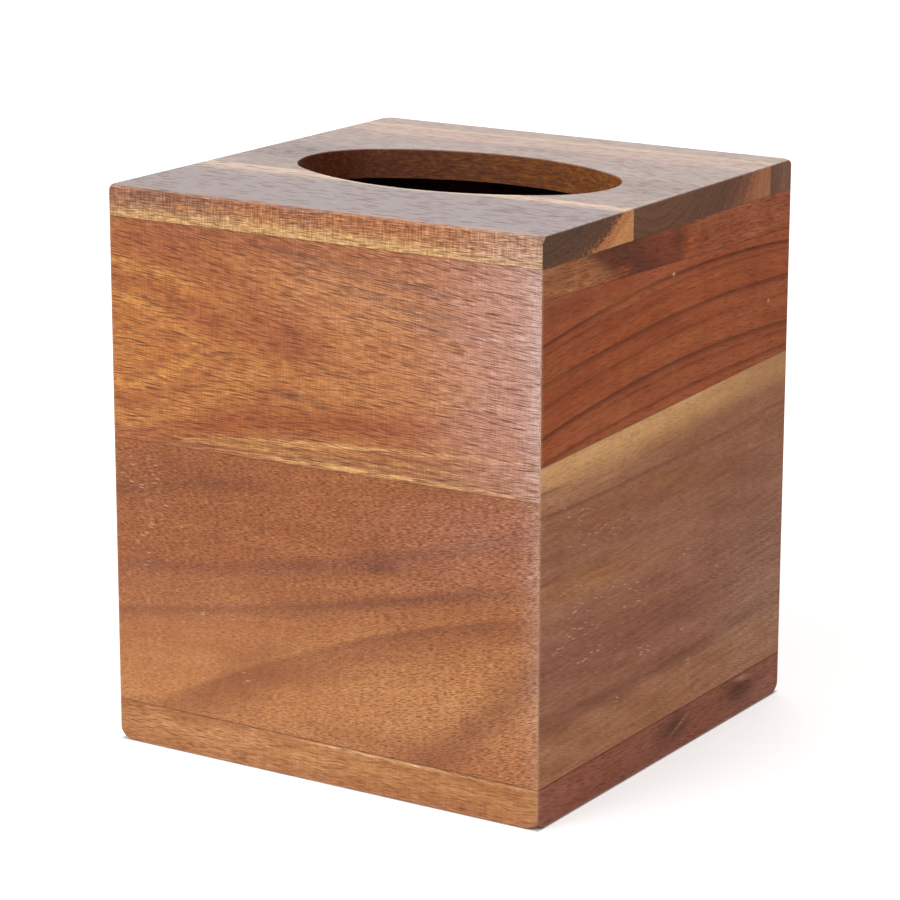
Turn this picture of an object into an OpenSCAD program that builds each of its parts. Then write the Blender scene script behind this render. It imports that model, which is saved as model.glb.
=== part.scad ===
// Square wooden tissue box cover that slips over a cube box of tissues.
// Four mitred walls, each glued up from staves, carry a glued-up top board with an oval opening.
// The origin is at the middle of the footprint, z = 0 is the table, and the front faces -Y.

/* [Cover] */
// Width from the left wall's outer face to the right wall's
cover_w = 130; // [118:1:160]
// Depth from the front wall's outer face to the back wall's
cover_d = 130; // [118:1:160]
// Height over the top board
cover_h = 150; // [130:1:190]
// Thickness of the wall boards
wall_t = 8; // [5:0.5:12]
// Thickness of the top board
top_t = 8; // [5:0.5:12]

/* [Oval opening] */
// Length of the opening, left to right
slot_l = 92.6; // [80:0.1:104]
// Width of the opening, front to back
slot_w = 56.8; // [48:0.1:70]
// Radius of the two end arcs
slot_end_r = 21; // [12:0.5:23]
// Rounding of the opening's upper rim
rim_r = 0.5; // [0.2:0.1:2]

/* [Top board staves] */
// Width of the middle stave
top_middle_w = 73.7; // [45:0.1:90]
// Width of the rear stave
top_rear_w = 12.5; // [8:0.1:18]

/* [Front wall seam] */
// Depth of the seam below the top, at the left end
front_seam_left = 66.8; // [40:0.1:100]
// Depth of the seam below the top, at the right end
front_seam_right = 65.6; // [40:0.1:100]

/* [Right wall seams] */
// Depth of the upper seam below the top, at the front end
right_upper_front = 15.6; // [13:0.1:30]
// Depth of the upper seam below the top, at the rear end
right_upper_rear = 18.7; // [13:0.1:30]
// Depth of the lower seam below the top, at the front end
right_lower_front = 56.9; // [40:0.1:90]
// Depth of the lower seam below the top, at the rear end
right_lower_rear = 52.3; // [40:0.1:90]

/* [Back wall seam] */
// Depth of the seam below the top, at the end by the right wall
back_seam_right = 78.4; // [40:0.1:110]
// Depth of the seam below the top, at the end by the left wall
back_seam_left = 79.6; // [40:0.1:110]

/* [Left wall seams] */
// Depth of the upper seam below the top, at the rear end
left_upper_rear = 38.2; // [20:0.1:60]
// Depth of the upper seam below the top, at the front end
left_upper_front = 36.5; // [20:0.1:60]
// Depth of the lower seam below the top, at the rear end
left_lower_rear = 92.7; // [70:0.1:115]
// Depth of the lower seam below the top, at the front end
left_lower_front = 94.1; // [70:0.1:115]

/* [Base strips] */
// Height of the base strips at the front left corner
base_front_left = 11.3; // [6:0.1:20]
// Height of the base strips at the front right corner
base_front_right = 10.8; // [6:0.1:20]
// Height of the base strips at the back right corner
base_back_right = 11.6; // [6:0.1:20]
// Height of the base strips at the back left corner
base_back_left = 11.2; // [6:0.1:20]
// Depth of the fine groove where the base strips meet the walls
seam_groove = 0.2; // [0.1:0.05:0.5]

/* [Eased edges] */
// Rounding of the long arrises
arris_r = 0.7; // [0.3:0.1:2]
// Rounding of the four bottom corners
foot_r = 3.5; // [1.5:0.1:5]
// Rounding of the four top corners
crown_r = 1.8; // [1:0.1:4]

/* [Hidden] */
$fn = 96;

// Every cut runs past the solid that it trims by this much
overrun = 1;

// Walls in the order in which they follow each other round the cover, seen from outside:
// each one's turn about Z, its length, and how far its outer face is from the middle
FRONT = 0;
RIGHT = 1;
BACK = 2;
LEFT = 3;
wall_turns = [0, 90, 180, 270];
wall_lengths = [cover_w, cover_d, cover_w, cover_d];
wall_reaches = [cover_d / 2, cover_w / 2, cover_d / 2, cover_w / 2];

// Seams of each wall as pairs of heights, at its left and right ends seen from outside
wall_top = cover_h - top_t;
table_line = [0, 0];
top_line = [wall_top, wall_top];
base_lines = [
    [base_front_left, base_front_right],
    [base_front_right, base_back_right],
    [base_back_right, base_back_left],
    [base_back_left, base_front_left],
];
front_seam = [cover_h - front_seam_left, cover_h - front_seam_right];
right_upper_seam = [cover_h - right_upper_front, cover_h - right_upper_rear];
right_lower_seam = [cover_h - right_lower_front, cover_h - right_lower_rear];
back_seam = [cover_h - back_seam_right, cover_h - back_seam_left];
left_upper_seam = [cover_h - left_upper_rear, cover_h - left_upper_front];
left_lower_seam = [cover_h - left_lower_rear, cover_h - left_lower_front];

// Lines between the staves of the top board, measured along Y. The front stave is as wide as
// the other two leave it.
top_rear_seam = cover_d / 2 - top_rear_w;
top_front_seam = top_rear_seam - top_middle_w;

// Centres of the oval's four arcs: the end arcs' lie on its long axis, and the side arcs'
// lie as far across it as makes them run into the end arcs without a kink
slot_end_x = slot_l / 2 - slot_end_r;
slot_bulge = slot_w / 2 - slot_end_r;
slot_side_y = (slot_end_x * slot_end_x - slot_bulge * slot_bulge) / (2 * slot_bulge);
slot_side_r = slot_side_y + slot_w / 2;

// Where a line from a side arc's centre through an end arc's centre is clear of the rim
slot_far_y = slot_w / 2 + rim_r + overrun;
slot_far_x = slot_end_x * (1 + slot_far_y / slot_side_y);

// The side arcs are cut on past the end arcs' start by this much, so that the cuts lap
arc_lap = 0.5;

// A board's arris comes this far inside the sharp corner, along the diagonal
arris_inset = arris_r * (sqrt(2) - 1);

// Rectangle with eased corners
module eased_rect(w, h) {
    square([w - 2 * arris_r, h], center = true);
    square([w, h - 2 * arris_r], center = true);
    for (sx = [-1, 1], sy = [-1, 1])
        translate([sx * (w / 2 - arris_r), sy * (h / 2 - arris_r)])
            circle(arris_r);
}

// Trims a corner with its tip at the origin, whose diagonal points along +X, to a curve
module corner_trim(r) {
    translate([-arris_inset, 0, 0])
        rotate([90, 0, 0])
            linear_extrude(2 * (r + overrun), center = true)
                difference() {
                    translate([-r, -overrun])
                        square([r + overrun, r + overrun]);
                    translate([-r, r])
                        circle(r);
                }
}

// The whole cover's outer form, solid, with eased arrises and rounded corners
module outer_form() {
    difference() {
        intersection() {
            linear_extrude(cover_h)
                eased_rect(cover_w, cover_d);
            translate([0, 0, cover_h / 2])
                rotate([90, 0, 0])
                    linear_extrude(cover_d, center = true)
                        eased_rect(cover_w, cover_h);
            translate([0, 0, cover_h / 2])
                rotate([90, 0, 90])
                    linear_extrude(cover_w, center = true)
                        eased_rect(cover_d, cover_h);
        }
        for (sx = [-1, 1], sy = [-1, 1])
            translate([sx * cover_w / 2, sy * cover_d / 2, 0])
                rotate([0, 0, atan2(sy, sx)])
                    corner_trim(foot_r);
        for (sx = [-1, 1], sy = [-1, 1])
            translate([sx * cover_w / 2, sy * cover_d / 2, cover_h])
                rotate([0, 0, atan2(sy, sx)])
                    mirror([0, 0, 1])
                        corner_trim(crown_r);
    }
}

// Round hole of radius r, whose upper rim, at z = 0, is rounded outwards
module eased_hole(r) {
    rotate_extrude()
        union() {
            translate([0, -top_t - overrun])
                square([r, top_t + 2 * overrun]);
            difference() {
                translate([0, -rim_r])
                    square([r + rim_r, rim_r + overrun]);
                translate([r + rim_r, -rim_r])
                    circle(rim_r);
            }
        }
}

// Plan of the stretch of the oval that its side arcs bound. Its slanted sides run along the
// lines from their centres through the end arcs' centres, and past them by the lap.
module side_arc_plan() {
    near_x = slot_end_x + arc_lap;
    far_x = slot_far_x + arc_lap;
    polygon([
        [near_x, 0], [far_x, slot_far_y], [-far_x, slot_far_y],
        [-near_x, 0], [-far_x, -slot_far_y], [far_x, -slot_far_y],
    ]);
}

// Plan of the stretch that the right end arc bounds, which starts halfway into the lap
module end_arc_plan() {
    near_x = slot_end_x + arc_lap / 2;
    far_x = slot_far_x + arc_lap / 2;
    tip_x = far_x + slot_l / 2;
    polygon([
        [near_x, 0], [far_x, -slot_far_y], [tip_x, -slot_far_y],
        [tip_x, slot_far_y], [far_x, slot_far_y],
    ]);
}

// Gives a plan the depth of the opening, which runs past both faces of the top board
module through_top() {
    translate([0, 0, -top_t - overrun])
        linear_extrude(top_t + 2 * overrun)
            children();
}

// The oval opening through the top board, from two end arcs and a stretch between two side
// arcs, which run into each other
module oval_opening() {
    translate([0, 0, cover_h]) {
        for (turn = [0, 180])
            rotate([0, 0, turn])
                intersection() {
                    translate([slot_end_x, 0, 0])
                        eased_hole(slot_end_r);
                    through_top()
                        end_arc_plan();
                }
        intersection() {
            translate([0, -slot_side_y, 0])
                eased_hole(slot_side_r);
            translate([0, slot_side_y, 0])
                eased_hole(slot_side_r);
            through_top()
                side_arc_plan();
        }
    }
}

// Stave of the top board that lies between two lines along Y
module top_stave(front_y, rear_y) {
    difference() {
        intersection() {
            outer_form();
            translate([-cover_w / 2 - overrun, front_y, wall_top])
                cube([cover_w + 2 * overrun, rear_y - front_y, top_t + overrun]);
        }
        oval_opening();
    }
}

// A wall's board as it is sawn: its section, with the inner bottom arris eased, run along
// its length and mitred at both ends
module mitred_board(side) {
    length = wall_lengths[side];
    reach = wall_reaches[side];
    intersection() {
        translate([0, -reach, 0])
            rotate([90, 0, 90])
                linear_extrude(length, center = true)
                    difference() {
                        square([wall_t, wall_top]);
                        difference() {
                            translate([wall_t - arris_r, -overrun])
                                square([arris_r + overrun, arris_r + overrun]);
                            translate([wall_t - arris_r, arris_r])
                                circle(arris_r);
                        }
                    }
        linear_extrude(wall_top)
            polygon([
                [-length / 2, -reach], [length / 2, -reach],
                [length / 2 - wall_t, wall_t - reach], [wall_t - length / 2, wall_t - reach],
            ]);
    }
}

// Fine groove along a wall's base seam, on its outer face
module base_groove(side) {
    length = wall_lengths[side];
    heights = base_lines[side];
    bar = seam_groove * sqrt(2);
    translate([0, -wall_reaches[side], (heights[0] + heights[1]) / 2])
        rotate([0, -atan2(heights[1] - heights[0], length), 0])
            rotate([45, 0, 0])
                cube([length + 2 * overrun, bar, bar], center = true);
}

// Stave of a wall that lies between two seams, each given by its heights at the two ends
module wall_stave(side, lower, upper) {
    half = wall_lengths[side] / 2;
    intersection() {
        outer_form();
        rotate([0, 0, wall_turns[side]])
            difference() {
                intersection() {
                    mitred_board(side);
                    translate([0, wall_t + overrun - wall_reaches[side], 0])
                        rotate([90, 0, 0])
                            linear_extrude(wall_t + 2 * overrun)
                                polygon([
                                    [-half, lower[0]], [half, lower[1]],
                                    [half, upper[1]], [-half, upper[0]],
                                ]);
                }
                base_groove(side);
            }
    }
}

module top_front_stave() {
    color("#b59d94")
        top_stave(-cover_d / 2, top_front_seam);
}

module top_middle_stave() {
    color("#c4ab9d")
        top_stave(top_front_seam, top_rear_seam);
}

module top_rear_stave() {
    color("#ae958a")
        top_stave(top_rear_seam, cover_d / 2);
}

module front_upper_stave() {
    color("#b17046")
        wall_stave(FRONT, front_seam, top_line);
}

module front_lower_stave() {
    color("#ad7350")
        wall_stave(FRONT, base_lines[FRONT], front_seam);
}

module front_base_strip() {
    color("#b67c53")
        wall_stave(FRONT, table_line, base_lines[FRONT]);
}

module right_upper_stave() {
    color("#8a5540")
        wall_stave(RIGHT, right_upper_seam, top_line);
}

module right_middle_stave() {
    color("#874b34")
        wall_stave(RIGHT, right_lower_seam, right_upper_seam);
}

module right_lower_stave() {
    color("#8b5f4a")
        wall_stave(RIGHT, base_lines[RIGHT], right_lower_seam);
}

module right_base_strip() {
    color("#784d3d")
        wall_stave(RIGHT, table_line, base_lines[RIGHT]);
}

module back_upper_stave() {
    color("#a56a47")
        wall_stave(BACK, back_seam, top_line);
}

module back_lower_stave() {
    color("#94583c")
        wall_stave(BACK, base_lines[BACK], back_seam);
}

module back_base_strip() {
    color("#9c6a4a")
        wall_stave(BACK, table_line, base_lines[BACK]);
}

module left_upper_stave() {
    color("#9a5f41")
        wall_stave(LEFT, left_upper_seam, top_line);
}

module left_middle_stave() {
    color("#b0795a")
        wall_stave(LEFT, left_lower_seam, left_upper_seam);
}

module left_lower_stave() {
    color("#8c5138")
        wall_stave(LEFT, base_lines[LEFT], left_lower_seam);
}

module left_base_strip() {
    color("#a3714f")
        wall_stave(LEFT, table_line, base_lines[LEFT]);
}

top_front_stave();
top_middle_stave();
top_rear_stave();
front_upper_stave();
front_lower_stave();
front_base_strip();
right_upper_stave();
right_middle_stave();
right_lower_stave();
right_base_strip();
back_upper_stave();
back_lower_stave();
back_base_strip();
left_upper_stave();
left_middle_stave();
left_lower_stave();
left_base_strip();
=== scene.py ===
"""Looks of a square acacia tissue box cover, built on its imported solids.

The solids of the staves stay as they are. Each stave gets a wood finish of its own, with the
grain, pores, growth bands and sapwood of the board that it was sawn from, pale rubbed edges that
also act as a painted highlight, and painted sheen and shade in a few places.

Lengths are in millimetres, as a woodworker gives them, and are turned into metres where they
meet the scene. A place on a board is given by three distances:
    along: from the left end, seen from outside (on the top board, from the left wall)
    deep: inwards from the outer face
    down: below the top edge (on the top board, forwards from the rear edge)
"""

import logging
import math
from collections.abc import Iterable
from dataclasses import dataclass
from enum import Enum
from functools import partial

import bmesh
import bpy
from mathutils import Matrix, Vector

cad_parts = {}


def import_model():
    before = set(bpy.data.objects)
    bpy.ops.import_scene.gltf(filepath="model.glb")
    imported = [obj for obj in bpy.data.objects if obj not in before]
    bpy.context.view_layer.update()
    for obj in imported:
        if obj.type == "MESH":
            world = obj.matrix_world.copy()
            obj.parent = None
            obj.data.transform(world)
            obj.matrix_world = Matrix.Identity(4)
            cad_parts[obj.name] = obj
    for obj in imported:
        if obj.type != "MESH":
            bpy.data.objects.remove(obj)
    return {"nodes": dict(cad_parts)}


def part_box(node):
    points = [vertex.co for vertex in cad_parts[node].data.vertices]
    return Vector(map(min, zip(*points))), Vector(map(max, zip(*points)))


LOG = logging.getLogger("tissue_box_cover")

MM = 0.001

Tone = tuple[int, int, int]
Scale = tuple[float, float, float]
Feed = "Wire | bpy.types.NodeSocket | float | tuple[float, ...]"


def linear(tone: Tone) -> tuple[float, float, float, float]:
    """Turns a colour as a screen shows it into the renderer's own.

    Args:
        tone: Red, green and blue, from 0 to 255.

    Returns:
        Linear red, green and blue, and an alpha of 1.
    """
    shares = [channel / 255 for channel in tone]
    red, green, blue = (
        share / 12.92 if share <= 0.04045 else ((share + 0.055) / 1.055) ** 2.4
        for share in shares
    )
    return red, green, blue, 1.0


def bearing(azimuth: float, elevation: float) -> Vector:
    """Gives the way towards a place around the cover.

    Args:
        azimuth: Its bearing in degrees, from the front towards the right.
        elevation: Its height above the horizon in degrees.

    Returns:
        A vector of length 1.
    """
    turn, tilt = math.radians(azimuth), math.radians(elevation)
    level = math.cos(tilt)
    return Vector((math.sin(turn) * level, -math.cos(turn) * level, math.sin(tilt)))


class Wire:
    """A value on its way between shader nodes. Arithmetic on it adds a math node."""

    def __init__(self, graph: "Graph", socket: bpy.types.NodeSocket) -> None:
        """Takes the graph that the value belongs to and the socket that it comes from."""
        self.graph = graph
        self.socket = socket

    def __add__(self, other: Feed) -> "Wire":
        """Adds."""
        return self.graph.calc("ADD", self, other)

    def __sub__(self, other: Feed) -> "Wire":
        """Subtracts."""
        return self.graph.calc("SUBTRACT", self, other)

    def __rsub__(self, other: Feed) -> "Wire":
        """Subtracts this value from another."""
        return self.graph.calc("SUBTRACT", other, self)

    def __mul__(self, other: Feed) -> "Wire":
        """Multiplies."""
        return self.graph.calc("MULTIPLY", self, other)

    def __truediv__(self, other: Feed) -> "Wire":
        """Divides."""
        return self.graph.calc("DIVIDE", self, other)

    __radd__ = __add__
    __rmul__ = __mul__


class Graph:
    """Adds nodes to one shader tree and wires them, so that a formula reads as one."""

    def __init__(self, tree: bpy.types.NodeTree) -> None:
        """Takes the tree to write in."""
        self.tree = tree

    @classmethod
    def start(cls, owner: bpy.types.Material | bpy.types.World) -> "Graph":
        """Gives the emptied shader tree of a material or a world."""
        owner.use_nodes = True
        owner.node_tree.nodes.clear()
        return cls(owner.node_tree)

    def add(
        self, kind: str, feeds: dict[str | int, Feed] | None = None, **settings: object
    ) -> bpy.types.Node:
        """Adds one node.

        Args:
            kind: The node's type, such as Math for a ShaderNodeMath, or NodeGroupInput.
            feeds: What goes into its inputs, by name or number.
            settings: Its properties.

        Returns:
            The node.
        """
        node = self.tree.nodes.new(kind if kind.startswith("Node") else "ShaderNode" + kind)
        for name, value in settings.items():
            setattr(node, name, value)
        for key, value in (feeds or {}).items():
            self.feed(node.inputs[key], value)
        return node

    def feed(self, target: bpy.types.NodeSocket, value: Feed) -> None:
        """Feeds one input.

        Args:
            target: The input.
            value: A wire or a socket to link it to, or a constant to set it to.
        """
        if isinstance(value, Wire):
            value = value.socket
        if isinstance(value, bpy.types.NodeSocket):
            self.tree.links.new(value, target)
        else:
            target.default_value = value

    def out(self, node: bpy.types.Node, key: str | int = 0) -> Wire:
        """Gives a node's output as a wire."""
        return Wire(self, node.outputs[key])

    def calc(self, operation: str, *values: Feed) -> Wire:
        """Adds a math node and gives its result."""
        return self.out(self.add("Math", dict(enumerate(values)), operation=operation))

    def size(self, value: Feed) -> Wire:
        """Gives a value without its sign."""
        return self.calc("ABSOLUTE", value)

    def bell(self, square: Wire) -> Wire:
        """Gives 1 where a squared distance is zero, falling off as a bell curve."""
        return self.calc("EXPONENT", square * -1.0)

    def step(self, value: Feed, low: Feed, high: Feed) -> Wire:
        """Gives a smooth step: 0 where the value is below low, and 1 where it is above high."""
        feeds = {"Value": value, "From Min": low, "From Max": high}
        return self.out(self.add("MapRange", feeds, interpolation_type="SMOOTHSTEP"), "Result")

    def split(self, vector: Feed) -> tuple[Wire, Wire, Wire]:
        """Splits a vector into its three parts."""
        node = self.add("SeparateXYZ", {0: vector})
        return self.out(node, 0), self.out(node, 1), self.out(node, 2)

    def join(self, x: Feed, y: Feed, z: Feed) -> Wire:
        """Joins three values into a vector."""
        return self.out(self.add("CombineXYZ", {0: x, 1: y, 2: z}))

    def noise(self, vector: Feed, detail: float = 1.0, roughness: float = 0.5) -> Wire:
        """Gives cloudy noise from -1 to 1, about one cloud a unit, with finer layers in it."""
        feeds = {"Vector": vector, "Scale": 1.0, "Detail": detail, "Roughness": roughness}
        return self.out(self.add("TexNoise", feeds)) * 2.0 - 1.0

    def scaled(
        self, along: Wire, deep: Wire, down: Wire, scale: Scale, seed: Feed = 0.0
    ) -> Wire:
        """Stretches a place on a board, shifted along by a seed, to read noise or dots there."""
        return self.join(along * scale[0] + seed, deep * scale[1], down * scale[2])

    def dots(self, vector: Feed) -> Wire:
        """Gives the distance to the nearest of the points strewn at about one a unit."""
        return self.out(self.add("TexVoronoi", {"Vector": vector, "Scale": 1.0}), "Distance")

    def mix(self, share: Feed, one: Feed, other: Feed) -> Wire:
        """Mixes two colours, by how much of the second one shows."""
        return self.out(self.add("Mix", {0: share, 6: one, 7: other}, data_type="RGBA"), 2)

    def ramp(self, share: Feed, stops: list[tuple[float, Tone]]) -> Wire:
        """Adds a colour ramp.

        Args:
            share: Where the ramp is read, from 0 to 1.
            stops: Places from 0 to 1 with their colours, in order.

        Returns:
            The colour.
        """
        node = self.add("ValToRGB", {0: share})
        elements = node.color_ramp.elements
        while len(elements) < len(stops):
            elements.new(1.0)
        for element, (place, tone) in zip(elements, stops):
            element.position = place
            element.color = linear(tone)
        return self.out(node)

    def use(self, group: bpy.types.NodeTree, **feeds: Feed) -> dict[str, Wire]:
        """Places a shader group, feeds its inputs and gives its outputs, all by name."""
        node = self.add("Group", feeds, node_tree=group)
        return {output.name: Wire(self, output) for output in node.outputs}


class Board(Enum):
    """The five boards of the cover. Each value is its turn about Z in degrees, or None."""

    FRONT = 0
    RIGHT = 90
    BACK = 180
    LEFT = 270
    TOP = None


@dataclass(frozen=True)
class Arc:
    """A gently bent line across a board, by its distance down at three places along it."""

    left: float
    middle: float
    right: float

    def terms(self) -> tuple[float, float, float]:
        """Gives the start, slope and curve of the same line over the board's whole length."""
        slope = 4 * self.middle - 3 * self.left - self.right
        curve = 2 * (self.left + self.right) - 4 * self.middle
        return self.left, slope, curve


@dataclass(frozen=True)
class Streak:
    """A growth band, a dark line or a painted highlight that runs along the board.

    Attributes:
        line: Where it runs.
        tone: Its colour.
        strength: How much of its colour shows, from 0 to 1.
        above: How far it fades upwards.
        below: How far it fades downwards.
        start: Where it begins, along the board.
        end: Where it ends.
        fade: How far it fades in and out at its ends.
        ragged: How far the grain's waviness moves it, as a share.
    """

    line: Arc
    tone: Tone
    strength: float = 0.6
    above: float = 1.0
    below: float = 1.0
    start: float = -20.0
    end: float = 150.0
    fade: float = 12.0
    ragged: float = 1.0

    def feeds(self) -> dict[str, Feed]:
        """Gives what the streak's shader group needs, by input."""
        names = ("above", "below", "start", "end", "fade")
        values = {name.title(): getattr(self, name) for name in names}
        return {"Line": self.line.terms(), **values}


@dataclass(frozen=True)
class Patch:
    """A cloudy spot of another colour.

    Attributes:
        along: Where its middle is along the board.
        down: Where its middle is down the board.
        length: Half its length.
        height: Half its height.
        tone: Its colour.
        strength: How much of its colour shows, from 0 to 1.
        slant: How far it rises or falls over each millimetre along the board.
        deep: Where its middle is below the outer face.
        reach: Half its thickness.
        ragged: How far the grain's waviness moves it, as a share.
    """

    along: float
    down: float
    length: float
    height: float
    tone: Tone = (0, 0, 0)
    strength: float = 0.5
    slant: float = 0.0
    deep: float = 0.0
    reach: float = 1000.0
    ragged: float = 1.0

    def feeds(self) -> dict[str, Feed]:
        """Gives what the spot's shader group needs, by input."""
        names = ("along", "down", "length", "height", "slant", "deep", "reach")
        return {name.title(): getattr(self, name) for name in names}


@dataclass(frozen=True)
class Grain:
    """How the grain runs and how coarse it is.

    Attributes:
        flow: The line that the growth bands follow, as far as it bends.
        tilt: How far the fibres sink under that line over each millimetre along the board.
        centre: The distance down at which the fibres of a fan run along that line.
        fan: How much the fibres draw together towards the right, as a share.
        pith: Where the growth rings have their middle, down and deep, or None for flat bands.
        wave: How far the bands wander.
        fibre: Strength of the fine fibres.
        fibre_length: Length of a fine fibre.
        strand: Strength of the coarser strands.
        cloud: Strength of the broad light and dark zones.
        ripple: Strength of the bands of sheen across the grain.
        hatch: Strength of the fine lines across the grain.
        pores: How many pores show as dark dashes, from 0 to 1.
        pore_depth: How dark they are.
        pore_length: How far apart they are along the grain, which sets their length.
        pore_width: How far apart they are across it, which sets their width.
        flat: How many times broader fibres and pores are down the board than into it.
    """

    flow: Arc = Arc(0, 0, 0)
    tilt: float = 0.0
    centre: float = 75.0
    fan: float = 0.0
    pith: tuple[float, float] | None = None
    wave: float = 1.0
    fibre: float = 0.6
    fibre_length: float = 2.8
    strand: float = 0.4
    cloud: float = 0.4
    ripple: float = 0.2
    hatch: float = 0.0
    pores: float = 0.5
    pore_depth: float = 0.5
    pore_length: float = 5.0
    pore_width: float = 0.45
    flat: float = 1.0


class GrainKit:
    """The shader groups that all the wood finishes share. Scales are clouds a millimetre."""

    BOARD_LENGTH = 130.0
    SLOW_WAVE, SLOW_REACH = (0.02, 0.03, 0.035), 2.6
    QUICK_WAVE, QUICK_REACH = (0.1, 0.1, 0.2), 0.4
    FIBRES_ACROSS = 4.2
    STRAND = (0.06, 0.05, 0.8)
    CLOUD = (0.022, 0.15, 0.2)
    RIPPLE = (0.14, 0.03, 0.06)
    HATCH = (2.2, 0.3, 0.2)
    DUST = (0.24, 1.3, 1.6)
    DUST_EDGE = (0.14, 0.28)
    PORE_SIZE, PORE_AMOUNT, PORE_CROWD, PORE_EDGE = 0.16, 0.36, 0.3, 0.1
    COARSE = 0.6
    WALL_FACES, END_FACES, FLAT_FACES = (0.35, 0.9), (0.55, 0.95), (0.5, 0.9)
    OPENING_EDGE = (0.98, 1.0)

    def __init__(self) -> None:
        """Builds the groups, each of them once."""
        self.flow = self._flow()
        self.figure = self._figure()
        self.hatch = self._hatch()
        self.pores = self._pores()
        self.dust = self._dust()
        self.streak = self._streak()
        self.patch = self._patch()
        self.arris = self._arris()
        self.cuts = self._cuts()

    @staticmethod
    def _open(name: str, vectors: str, values: str) -> tuple[Graph, dict[str, Wire]]:
        """Starts a shader group.

        Args:
            name: The group's name.
            vectors: The names of its vector inputs.
            values: The names of its number inputs.

        Returns:
            The graph, and the inputs as wires.
        """
        tree = bpy.data.node_groups.new(name, "ShaderNodeTree")
        for labels, kind in (vectors, "NodeSocketVector"), (values, "NodeSocketFloat"):
            for label in labels.split():
                tree.interface.new_socket(label, in_out="INPUT", socket_type=kind)
        graph = Graph(tree)
        outputs = graph.add("NodeGroupInput").outputs
        return graph, {output.name: Wire(graph, output) for output in outputs if output.name}

    @staticmethod
    def _close(graph: Graph, **results: Wire) -> bpy.types.NodeTree:
        """Gives a shader group its outputs.

        Args:
            graph: The group's graph.
            results: The outputs by name. One whose name ends in Flow is a vector.

        Returns:
            The finished group.
        """
        for label in results:
            kind = "NodeSocketVector" if label.endswith("Flow") else "NodeSocketFloat"
            graph.tree.interface.new_socket(label, in_out="OUTPUT", socket_type=kind)
        graph.add("NodeGroupOutput", results)
        return graph.tree

    def _height(self, graph: Graph, along: Wire, line: Wire) -> Wire:
        """Tells how far down a bent line runs.

        Args:
            graph: The graph to write in.
            along: The place along the board.
            line: The line's start, slope and curve.

        Returns:
            The line's distance down at that place.
        """
        start, slope, curve = graph.split(line)
        share = along / self.BOARD_LENGTH
        return start + share * (slope + share * curve)

    def _flow(self) -> bpy.types.NodeTree:
        """Builds the group that straightens the grain: it gives places as the tree grew them."""
        values = "Seed Centre Fan Tilt Wave Ringed"
        graph, wire = self._open("grain_flow", "Place Line Pith", values)
        along, deep, down = graph.split(wire["Place"])
        level = down - self._height(graph, along, wire["Line"])
        share = along / self.BOARD_LENGTH
        spread = level + (level - wire["Centre"]) * wire["Fan"] * share
        slow = graph.noise(graph.scaled(along, deep, spread, self.SLOW_WAVE, wire["Seed"]))
        quick = graph.noise(graph.scaled(along, deep, spread, self.QUICK_WAVE, wire["Seed"]), 0.0)
        wander = (slow * self.SLOW_REACH + quick * self.QUICK_REACH) * wire["Wave"]
        fibres = spread + wander - along * wire["Tilt"]
        _, pith_deep, pith_down = graph.split(wire["Pith"])
        across, inwards = level - pith_down, deep - pith_deep
        ring = graph.calc("SQRT", across * across + inwards * inwards)
        ringed = level + (ring - level) * wire["Ringed"]
        flow = graph.join(along, deep, fibres)
        return self._close(graph, Flow=flow, Wander=wander, Level=ringed + wander)

    def _figure(self) -> bpy.types.NodeTree:
        """Builds the group for fibres, strands, light and dark zones, and ripples of sheen."""
        graph, wire = self._open("wood_figure", "Flow", "Level Seed Length Flat")
        along, deep, down = graph.split(wire["Flow"])
        seed, level, fine = wire["Seed"], wire["Level"], self.FIBRES_ACROSS
        fibre = graph.join(along / wire["Length"] + seed, deep * fine, down * fine / wire["Flat"])
        strand = graph.scaled(along, deep, level, self.STRAND, seed)
        return self._close(
            graph,
            Fibre=graph.noise(fibre, 1.0, self.COARSE),
            Strand=graph.noise(strand, 1.0, self.COARSE),
            Cloud=graph.noise(graph.scaled(along, deep, down, self.CLOUD, seed)),
            Ripple=graph.noise(graph.scaled(along, deep, down, self.RIPPLE, seed)),
        )

    def _hatch(self) -> bpy.types.NodeTree:
        """Builds the group for the fine lines across the grain of a board's edge."""
        graph, wire = self._open("cross_hatch", "Flow", "Seed")
        lines = graph.scaled(*graph.split(wire["Flow"]), self.HATCH, wire["Seed"])
        return self._close(graph, Hatch=graph.noise(lines, 0.0))

    def _pores(self) -> bpy.types.NodeTree:
        """Builds the group for pores: dashes on long grain, and dots on end grain."""
        graph, wire = self._open("wood_pores", "Flow", "Seed Crowd Amount Length Width Flat")
        along, deep, down = graph.split(wire["Flow"])
        width = wire["Width"]
        place = graph.join(
            along / wire["Length"] + wire["Seed"], deep / width, down / width / wire["Flat"]
        )
        more = wire["Amount"] * self.PORE_AMOUNT + wire["Crowd"] * self.PORE_CROWD
        size, edge = more + self.PORE_SIZE, self.PORE_EDGE
        spread = graph.step(graph.dots(place), size - edge, size + edge)
        return self._close(graph, Pores=1.0 - spread)

    def _dust(self) -> bpy.types.NodeTree:
        """Builds the group for pores filled with pale dust."""
        graph, wire = self._open("dusty_pores", "Flow", "Seed")
        spots = graph.dots(graph.scaled(*graph.split(wire["Flow"]), self.DUST, wire["Seed"]))
        return self._close(graph, Dust=1.0 - graph.step(spots, *self.DUST_EDGE))

    def _streak(self) -> bpy.types.NodeTree:
        """Builds the group for one band or line along the board."""
        graph, wire = self._open("growth_streak", "Place Line", "Wander Above Below Start End Fade")
        along, _, down = graph.split(wire["Place"])
        away = down - self._height(graph, along, wire["Line"]) + wire["Wander"]
        under = graph.calc("GREATER_THAN", away, 0.0)
        reach = wire["Above"] + (wire["Below"] - wire["Above"]) * under
        fade = wire["Fade"]
        begun = graph.step(along, wire["Start"] - fade, wire["Start"] + fade)
        ended = graph.step(along, wire["End"] - fade, wire["End"] + fade)
        share = away / reach
        return self._close(graph, Mark=graph.bell(share * share) * begun * (1.0 - ended))

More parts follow.
